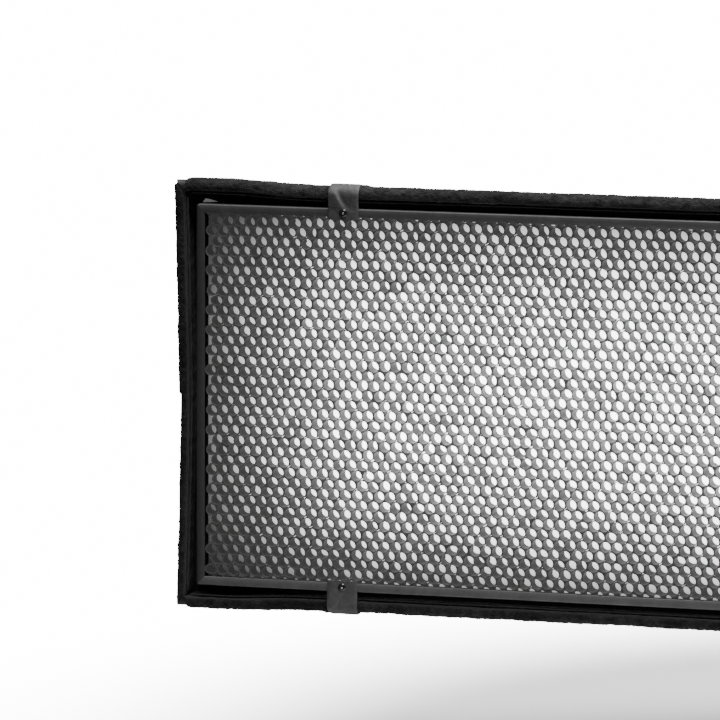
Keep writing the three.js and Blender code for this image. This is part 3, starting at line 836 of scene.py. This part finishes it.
def tab_place(tab):
    """(x, +1 or -1 for the top or the bottom, fold height above the centre)"""
    low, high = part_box(f"tab_foot_{tab}")
    up = 1 if tab.startswith("top") else -1
    flap_low, flap_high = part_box(f"tab_flap_{tab}")
    fold = min(abs(flap_low.z), abs(flap_high.z))
    return (low.x + high.x) / 2, up, fold


def add_tab(tab):
    """One strap: its riveted foot, the rise over the lip's bead and the end that grips the strip."""
    x, up, fold = tab_place(tab)
    low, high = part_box(f"tab_foot_{tab}")
    foot = min(abs(low.z), abs(high.z))
    y = (low.y + high.y) / 2
    thick = high.y - low.y
    width = high.x - low.x
    reach = HALF_H + float(swell("top", np.array(x)))
    centre = (LIP_FRONT + BEAD_RADIUS, reach - BEAD_RADIUS)
    radius = BEAD_RADIUS + 1.5 * MM
    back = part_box(f"tab_flap_{tab}")[1].y
    crown = centre[1] + radius
    line = np.vstack([
        [[y, foot], [y, fold - 2 * MM]],
        arc_points(centre, radius, 188, 82, 16),
        [[back, crown - fall(back)]],
    ])
    line = resampled(line, 0.8 * MM)
    tangent = np.gradient(line, axis=0)
    tangent /= np.linalg.norm(tangent, axis=1)[:, None]
    normal = np.stack([-tangent[:, 1], tangent[:, 0]], -1)
    u, v = np.meshgrid(np.linspace(-0.5, 0.5, 41), np.arange(len(line)) * 0.8 * MM)
    # a pucker runs from the upper left down to the rivet, raised on its left side
    share = np.clip((v - 9 * MM) / (13 * MM), 0, 1)
    across = (u - 0.07 + 0.30 * share) * width / MM
    depth = np.clip((v - 6 * MM) / (4 * MM), 0, 1) * np.clip((26 * MM - v) / (5 * MM), 0, 1)
    dent = 2.0 * MM * depth * (1 / (1 + np.exp(1.6 * across)) - 0.35) * np.exp(-((across / 9) ** 2))
    dent += 0.14 * MM * ripple(u.shape, (9, 9)) + 0.05 * MM * RNG.standard_normal(u.shape)
    edge = 1 - np.abs(2 * u) ** 14
    layers = []
    for face in (1, -1):
        lift = face * 0.5 * thick * edge + dent
        frayed = 0.12 * MM * ripple(v.shape, (7, 1)) * np.abs(2 * u) ** 8
        px = x + u * width * (1 + 0.008 * np.sin(v / (9 * MM))) + frayed
        py = line[:, 0][:, None] + normal[:, 0][:, None] * lift
        pz = line[:, 1][:, None] + normal[:, 1][:, None] * lift
        layer = np.stack([px, py, pz * up], -1)
        layers.append(layer if face == 1 else layer[:, 1:-1][:, ::-1])
    strap = swept(f"tab_{tab}", np.concatenate(layers, 1), "grey_strap")
    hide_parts(f"tab_foot_{tab}", f"tab_flap_{tab}")
    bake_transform(strap)


def add_rivet(tab):
    """A blind rivet: a black domed head with the broken end of its mandrel in the middle."""
    x, up, _ = tab_place(tab)
    low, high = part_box(f"rivet_{tab}")
    z = (low.z + high.z) / 2
    back, face = high.y / MM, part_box(f"tab_foot_{tab}")[0].y / MM
    dome = [(ON_AXIS, back), (1.5, back), (1.6, back - 0.2), (1.6, face - 0.05), (3.3, face - 0.05)]
    dome += [(3.42, face - 0.25), (3.3, face - 0.45), (2.6, face - 0.95), (1.9, face - 1.3)]
    dome += [(1.25, face - 1.42), (1.05, face - 1.3), (0.95, face - 0.9), (ON_AXIS, face - 0.88)]
    head = turned(f"rivet_{tab}_head", dome, "rivet_black", (x, 0, z), sides=40)
    settle(head, "grid", "rivet_metal", f"rivet_{tab}")
    pin = [(ON_AXIS, face - 0.8), (0.85, face - 0.8), (0.85, face - 1.25), (0.6, face - 1.5)]
    pin += [(ON_AXIS, face - 1.58)]
    settle(turned(f"rivet_{tab}_pin", pin, "bright_steel", (x, 0, z), sides=24), "grid", "pole_metal")


# ---- Screens --------------------------------------------------------------------------------------

def closed_sheet(name, front, back, material, back_material=None):
    """A closed sheet from two grids of points, (rows, columns, xyz), with its edges joined."""
    rows, columns = front.shape[:2]
    first = np.arange(rows * columns).reshape(rows, columns)
    second = first + rows * columns
    faces = []
    for grid, flip in ((first, False), (second, True)):
        quads = np.stack([grid[:-1, :-1], grid[:-1, 1:], grid[1:, 1:], grid[1:, :-1]], -1).reshape(-1, 4)
        faces += (quads[:, ::-1] if flip else quads).tolist()
    side_count = len(faces)

    def rim(grid):
        return np.r_[grid[0], grid[1:, -1], grid[-1, -2::-1], grid[-2:0:-1, 0]]

    a, b = rim(first), rim(second)
    faces += np.stack([a, b, np.roll(b, -1), np.roll(a, -1)], -1).tolist()
    slots = np.zeros(len(faces), int)
    if back_material:
        slots[side_count // 2:side_count] = 1
    points = np.concatenate([front.reshape(-1, 3), back.reshape(-1, 3)]).tolist()
    materials = [material, back_material] if back_material else [material]
    piece = mesh_object(name, points, faces, *materials, slots=slots)
    face_outward(piece)
    return piece


def add_front_screen():
    x, z = np.meshgrid(np.linspace(-1, 1, 241), np.linspace(-1, 1, 61))
    sag = 1.2 * MM * (1 - x**8) * (1 - z**4)
    pucker = 0.35 * MM * ripple(x.shape, (3, 7)) * np.clip((np.maximum(np.abs(x) ** 8, z**6)), 0.1, 1)
    y = SCREEN_Y + 0.25 * MM + sag * 0.4 + pucker * 0.5
    front = np.stack([x * SCREEN_X, y, z * SCREEN_Z], -1)
    back = front + np.array([0, 0.5 * MM, 0])
    screen = closed_sheet("front_screen_cloth", front, back, "screen_cloth")
    settle(screen, "shell", "white_fabric", "front_screen")
    border = 8 * MM
    thick = 0.5 * MM
    sections = []
    for sx, sz in ((-1, 1), (1, 1), (1, -1), (-1, -1)):
        for inset, depth in ((0, 0), (border, 0), (border, thick), (0, thick)):
            sections.append((sx * (SCREEN_X - inset), SCREEN_Y - 0.35 * MM + depth, sz * (SCREEN_Z - inset)))
    hem = swept("front_screen_border", np.array(sections).reshape(4, 4, 3), "black_nylon", ring=True)
    bpy.context.view_layer.update()
    settle(hem, "shell", "black_fabric")
    pull = add_pull_tab()


def add_pull_tab():
    """A loop of white tape at the screen's top left corner, standing forward past the grid's frame."""
    low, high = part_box("screen_pull_tab")
    u, v = np.meshgrid(np.linspace(0, 1, 25), np.linspace(0, 1, 13))
    x = low.x + 7 * MM + u * 10 * MM
    z = high.z - 6.0 * MM + 2.2 * MM * (1 - 0.85 * u**1.4) * np.sin(0.5 * math.pi * (1 - v)) + 0.5 * MM * (1 - u)
    y = SCREEN_Y - 1.2 * MM - v * 9 * MM
    front = np.stack([x, y, z], -1)
    # the tape's cloth carries a painted glow in place of the light that shines through it
    pull = closed_sheet("screen_pull_tape", front, front + np.array([0, 0, -0.5 * MM]), "lit_tape")
    return settle(pull, "shell", "white_fabric", "screen_pull_tab")


def add_baffle():
    low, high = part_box("inner_baffle")
    x, z = np.meshgrid(np.linspace(-1, 1, 61), np.linspace(-1, 1, 31))
    scallop = 1 - 0.05 * (1 - np.abs(z) ** 2) * np.abs(x) ** 8
    scallop_z = 1 - 0.06 * (1 - np.abs(x) ** 2) * np.abs(z) ** 8
    y = low.y + 0.2 * MM + 3 * MM * (1 - x**2) * (1 - z**2) + 0.3 * MM * ripple(x.shape, (5, 5))
    front = np.stack([x * high.x * scallop, y, z * high.z * scallop_z], -1)
    baffle = closed_sheet("inner_baffle_cloth", front, front + np.array([0, 0.5 * MM, 0]), "white_cloth")
    settle(baffle, "shell", "white_fabric", "inner_baffle")
    for corner in CORNERS:
        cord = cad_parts[f"baffle_cord_{corner}"]
        recoat(cord, "rubber")


# ---- Shell ----------------------------------------------------------------------------------------

HALF_REAR = 104 * MM
SEAM_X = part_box("panel_right")[1].x
SEAM_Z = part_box("panel_top")[1].z
BOW_X = 0.25
BOW_Z = 0.4


def seam(s):
    """The corner seam's (x, y, z) at a share s of the way from rear to front."""
    x = HALF_REAR + (SEAM_X - HALF_REAR) * (s + BOW_X * s * (1 - s))
    z = HALF_REAR + (SEAM_Z - HALF_REAR) * (s + BOW_Z * s * (1 - s))
    return x, SHELL_REAR + (SHELL_FRONT - SHELL_REAR) * s, z


def add_panel(side):
    """One side of the fabric shell, held out along its seams by the poles and drawn tight between them."""
    long_side = side in ("top", "bottom")
    columns, rows = (141, 57) if long_side else (57, 57)
    u, s = np.meshgrid(np.linspace(-1, 1, columns), np.linspace(0, 1, rows))
    x, y, z = seam(s)
    straight_x = HALF_REAR + (SEAM_X - HALF_REAR) * s
    straight_z = HALF_REAR + (SEAM_Z - HALF_REAR) * s
    if long_side:
        out = straight_z + (z - straight_z) * u**2
        width = x
    else:
        out = straight_x + (x - straight_x) * u**2
        width = z
    # folds fan out from the rear corners, and shallow ones run along the seams
    fan = np.sin(u * 23 + 9 * s) * np.exp(-3.5 * s) * (1 - u**8)
    puckers = ripple(u.shape, (3, 3)) * np.abs(u) ** 10
    billow = ripple(u.shape, (21, 31)) * (1 - u**2) * 4 * s * (1 - s)
    fade = np.clip(8 * (1 - s), 0, 1) * np.clip(12 * s, 0, 1)
    rise = (1.1 * MM * fan + 0.7 * MM * puckers + 1.6 * MM * billow) * fade
    rise -= 1.5 * MM * s**2
    thick = 0.6 * MM if long_side else 1.1 * MM
    outer = np.stack([u * width, y, out + rise], -1)
    # the short sides slope steeply, so their cloth is measured across the slope
    inner = np.stack([u * (width - (0.4 * MM if long_side else 0)), y, out + rise - thick], -1)
    turn = turn_matrix(side).T
    panel = closed_sheet(f"panel_{side}_cloth", outer @ turn, inner @ turn, "black_nylon", "silver_lining")
    settle(panel, "shell", "black_fabric", f"panel_{side}")


def corner_tube(name, corner, curve, shares, radius, sides, material):
    """A round tube along a curve up the top right corner's seam, mirrored to its own corner."""
    angles = np.linspace(0, 2 * math.pi, sides, endpoint=False)[:, None]
    rows = []
    for s in shares:
        along = np.subtract(curve(s + 0.001), curve(s - 0.001))
        along /= np.linalg.norm(along)
        side = np.cross(along, [0, 0, 1])
        side /= np.linalg.norm(side)
        over = np.cross(side, along)
        rows.append(curve(s) + radius * (np.cos(angles) * side + np.sin(angles) * over))
    sx, sz = CORNERS[corner]
    return swept(name, np.array(rows) * [sx, 1, sz], material)


def add_seam_binding(corner):
    """The bound seam along one of the shell's corners."""
    shares = np.linspace(0.004, 0.998, 90)
    binding = corner_tube(f"seam_binding_{corner}", corner, seam, shares, 1.7 * MM, 10, "black_nylon")
    settle(binding, "shell", "black_fabric")


def stitch_run(name, places, directions, normals, length=3.0 * MM, radius=0.32 * MM):
    """A row of short thread stitches, each a small closed lozenge that is half sunk in the cloth."""
    angles = np.linspace(0, 2 * math.pi, 6, endpoint=False)
    vertices, faces = [], []
    for place, direction, normal in zip(places, directions, normals):
        other = np.cross(direction, normal)
        base = len(vertices)
        vertices.append(place - direction * length / 2)
        for share in (-0.35, 0.35):
            for a in angles:
                vertices.append(
                    place + direction * length * share + radius * (math.cos(a) * normal + math.sin(a) * other)
                )
        vertices.append(place + direction * length / 2)
        for i in range(6):
            j = (i + 1) % 6
            faces.append((base, base + 1 + j, base + 1 + i))
            faces.append((base + 1 + i, base + 1 + j, base + 7 + j, base + 7 + i))
            faces.append((base + 7 + i, base + 7 + j, base + 13))
    piece = mesh_object(name, [tuple(v) for v in vertices], faces, "thread")
    face_outward(piece)
    return settle(piece, "shell", "black_fabric")


def add_stitching(side):
    half, reach = lip_half(side)
    turn = turn_matrix(side).T
    along = np.arange(-half + 14 * MM, half - 14 * MM, 4.2 * MM)
    rows, ways, ups = [], [], []
    for y, height in ((STRIP_BACK - 1.6 * MM, 0.75 * MM), (STRIP_BACK - 5.0 * MM, 0.75 * MM)):
        z = reach + height - fall(y) + swell(side, along)
        rows.append(np.stack([along, np.full_like(along, y), z], -1) @ turn)
        ways.append(np.broadcast_to(np.array([1.0, 0, 0]) @ turn, (len(along), 3)))
        ups.append(np.broadcast_to(np.array([0, 0, 1.0]) @ turn, (len(along), 3)))
    stitch_run(f"stitching_{side}", np.vstack(rows), np.vstack(ways), np.vstack(ups))


# ---- Poles, ring and mount ------------------------------------------------------------------------

def pole_point(s):
    inside = (14 + 28.5 * (1 - min(s, 1)) ** 3) * MM
    x, y, z = seam(s)
    return np.array([x - inside, y, z - inside])


def pole_way(corner, share, step):
    """A pole's direction at a share of the way to the front."""
    sx, sz = CORNERS[corner]
    way = (pole_point(share + step) - pole_point(share - step)) * [sx, 1, sz]
    return way / np.linalg.norm(way)


def add_pole(corner):
    """A sprung rod, with the rubber cap on its front end."""
    shares = np.linspace(0.006, 0.999, 80)
    rod = corner_tube(f"pole_{corner}_rod", corner, pole_point, shares, 3.1 * MM, 20, "bright_steel")
    settle(rod, "shell", "pole_metal", f"pole_{corner}")
    low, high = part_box(f"pole_tip_{corner}")
    size = 5.4
    cap = [(max(ON_AXIS, size * math.sin(a)), -size * math.cos(a)) for a in np.linspace(0, math.pi, 17)]
    way = pole_way(corner, 0.997, 0.002)
    tip = turned(f"pole_tip_{corner}_cap", cap, "rubber", np.array((low + high) / 2), way, sides=32)
    settle(tip, "shell", "rubber", f"pole_tip_{corner}")


def socket_middle(corner):
    sx, sz = CORNERS[corner]
    return pole_point(SOCKET_AT) * [sx, 1, sz]


def add_speed_ring():
    outer, bore = 95, 78
    back = RING_BACK / MM
    front = back - 14
    profile = [
        (bore, back - 0.6), (bore + 0.6, back), (outer - 1.6, back), (outer, back - 1.6),
        (outer, back - 4.6), (outer - 1, back - 5), (outer - 1, back - 9), (outer, back - 9.4),
        (outer, front + 1.6), (outer - 1.6, front), (bore + 0.6, front), (bore, front + 0.6),
    ]
    ring = turned("speed_ring_body", profile, "ring_metal", sides=144)
    reach = 18  # half a socket's length
    socket = [(ON_AXIS, -reach), (8.2, -reach), (9, 0.8 - reach), (9, reach - 3)]
    socket += [(8.2, reach - 2.2), (8.2, reach), (ON_AXIS, reach)]
    for corner in CORNERS:
        middle, way = socket_middle(corner), pole_way(corner, SOCKET_AT, 0.002)
        combined(ring, turned("socket", socket, "ring_metal", middle, way, 40), "UNION")
        drill(ring, "ring_metal", 3.6, -2 * reach, 2 * reach, middle, way)
    drill(ring, "ring_metal", bore, -60, 20, sides=144)
    drill(ring, "ring_metal", 150, back, back + 50, sides=48)
    low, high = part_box("lock_knob_top")
    for up in (1, -1):
        start = (0, (low.y + high.y) / 2, up * (bore - 4) * MM)
        drill(ring, "ring_metal", 3.4, 0, 30, start, (0, 0, up))
    machined(ring, "ring_metal", 0.25 * MM)
    settle(ring, "shell", "ring_metal", "speed_ring")


def add_knobs():
    for name, up in (("top", 1), ("bottom", -1)):
        low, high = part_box(f"lock_knob_{name}")
        start = (0, (low.y + high.y) / 2, up * min(abs(low.z), abs(high.z)))
        head = high.x / MM

        def flute(angles, along):
            return 1 - 0.07 * (0.5 + 0.5 * np.cos(16 * angles)) * (21 < along < 33)

        profile = [(ON_AXIS, 0), (2.4, 0), (2.8, 0.5), (2.8, 17.6), (5.6, 17.6), (6, 18), (6, 20)]
        profile += [(head - 0.7, 20.7), (head - 0.1, 21.4), (head, 22.4), (head, 25), (head, 28)]
        profile += [(head, 31), (head - 0.3, 32), (head - 1.1, 33.2), (head - 2.2, 33.9)]
        profile += [(4.2, 33.9), (3.9, 33.5), (ON_AXIS, 33.4)]
        knob = turned(f"lock_knob_{name}_body", profile, "knob_plastic", start, (0, 0, up), 96, flute)
        settle(knob, f"knob_{name}", "knob_plastic", f"lock_knob_{name}")


def add_mount():
    """The insert with its three lugs, the ring that holds the speed ring on it, and that ring's screws."""
    back, front = RING_BACK / MM, RING_BACK / MM - 14.2
    profile = [
        (50.6, 0), (87.2, 0), (88, -0.8), (88, back + 1.2), (87.4, back + 0.5), (77.5, back + 0.5),
        (77.5, front), (51, front), (50, front + 1), (50, -0.6),
    ]
    insert = turned("mount_insert_body", profile, "insert_metal", sides=144)
    lug = np.array([(51, -12), (51, -7), (43.6, -7), (43, -7.6), (43, -11.4), (43.6, -12)]) * MM
    for middle in (90, 210, 330):
        turns = np.radians(np.linspace(middle - 16, middle + 16, 13))
        rows = [[(r * math.cos(a), y, r * math.sin(a)) for r, y in lug] for a in turns]
        combined(insert, swept("lug", np.array(rows), "insert_metal"), "UNION")
    screws = [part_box(f"retainer_screw_{i}") for i in (1, 2, 3)]
    places = [((low.x + high.x) / 2, (low.z + high.z) / 2) for low, high in screws]
    low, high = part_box("retaining_ring")
    under, top = low.y / MM, high.y / MM
    plate = [(64, top), (82, top), (82, under + 0.6), (81.4, under), (64.6, under), (64, under + 0.6)]
    retainer = turned("retaining_ring_body", plate, "ring_metal", sides=144)
    for x, z in places:
        for target in (insert, retainer):
            drill(target, "ring_metal", 2.2, -24, -10, (x, 0, z), sides=24)
    machined(insert, "insert_metal", 0.2 * MM)
    settle(insert, "mount", "insert_metal", "mount_insert")
    machined(retainer, "ring_metal", 0.2 * MM)
    settle(retainer, "mount", "ring_metal", "retaining_ring")
    head = under - 0.1
    profile = [(ON_AXIS, head - 1.2), (1.1, head - 1.2), (1.3, head - 2), (2.4, head - 2)]
    profile += [(3.3, head - 1.5), (3.6, head - 0.8), (3.6, head), (1.7, head)]
    profile += [(1.7, head + 10), (ON_AXIS, head + 10)]

    def socket(angles, along):
        return 1 + 0.12 * np.cos(6 * angles) * (head - 1.3 < along < head - 1.1)

    for i, (x, z) in enumerate(places, 1):
        screw = turned(f"retainer_screw_{i}_body", profile, "bright_steel", (x, 0, z), sides=36, flute=socket)
        settle(screw, "mount", "pole_metal", f"retainer_screw_{i}")


def add_rear_collar():
    """Fabric wall round the ring, with its edge turned in against the shell."""
    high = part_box("rear_collar")[1]
    half = high.x
    angles = np.linspace(0, 2 * math.pi, 121)[:-1]
    shares = np.linspace(0, 1, 9)
    hole = 86 * MM
    radii = half / np.maximum(np.abs(np.cos(angles)), np.abs(np.sin(angles)))
    points = []
    for share in shares:
        r = hole + (radii - hole) * share
        dip = 0.2 * MM + 0.5 * MM * np.sin(math.pi * share)
        y = high.y - dip + 0.25 * MM * np.sin(24 * angles) * share * (1 - share)
        points.append(np.stack([r * np.cos(angles), y, r * np.sin(angles)], -1))
    front = [p + np.array([0, -0.7 * MM, 0]) for p in points[::-1]]
    sections = np.array(points + front).transpose(1, 0, 2)
    collar = swept("rear_collar_cloth", sections, "black_nylon", ring=True)
    slot_radius = 9.5
    for corner in CORNERS:
        way = pole_way(corner, SOCKET_AT, 0.002)
        drill(collar, "black_nylon", slot_radius, -20, 20, socket_middle(corner), way)
    recoat(collar, "black_nylon")
    settle(collar, "shell", "black_fabric", "rear_collar")


def add_rear_binding():
    """A rolled binding over the seam between the shell's four sides and its rear wall."""
    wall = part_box("rear_collar")[1].y
    rim = float(seam(np.array(0.0))[1])
    radius = 0.5 * abs(wall - rim) + 1.6 * MM
    turns = np.linspace(0, 2 * math.pi, 161)[:-1, None]
    around = np.linspace(0, 2 * math.pi, 13)[None, :-1]
    reach = (HALF_REAR + radius * np.cos(around)) / np.maximum(np.abs(np.cos(turns)), np.abs(np.sin(turns)))
    y = 0.5 * (wall + rim) + radius * np.sin(around) + 0 * turns
    points = np.stack([reach * np.cos(turns), y, reach * np.sin(turns)], -1)
    settle(swept("rear_binding", points, "black_nylon", ring=True), "shell", "black_fabric")


def add_floor():
    low = CAD_BOX[0].z - 0.16
    bpy.ops.mesh.primitive_circle_add(vertices=96, radius=1.15, fill_type="NGON", location=(0, -0.2, low))
    floor = bpy.context.object
    floor.name = "floor"
    floor.data.materials.append(MATERIALS["floor_paint"])


# ---- The whole ------------------------------------------------------------------------------------

add_camera()
add_world()
add_lights()
add_floor()
add_mount()
add_speed_ring()
add_knobs()
for side_name in SIDES:
    add_lip_body(side_name)
    add_lip_binding(side_name)
    add_loop_strip(side_name)
    add_stitching(side_name)
    add_panel(side_name)
    add_rail(side_name)
for corner_name in CORNERS:
    add_pole(corner_name)
    add_seam_binding(corner_name)
add_rear_collar()
add_rear_binding()
add_front_screen()
add_baffle()
add_honeycomb()
for tab_name in TABS:
    add_tab(tab_name)
    add_rivet(tab_name)
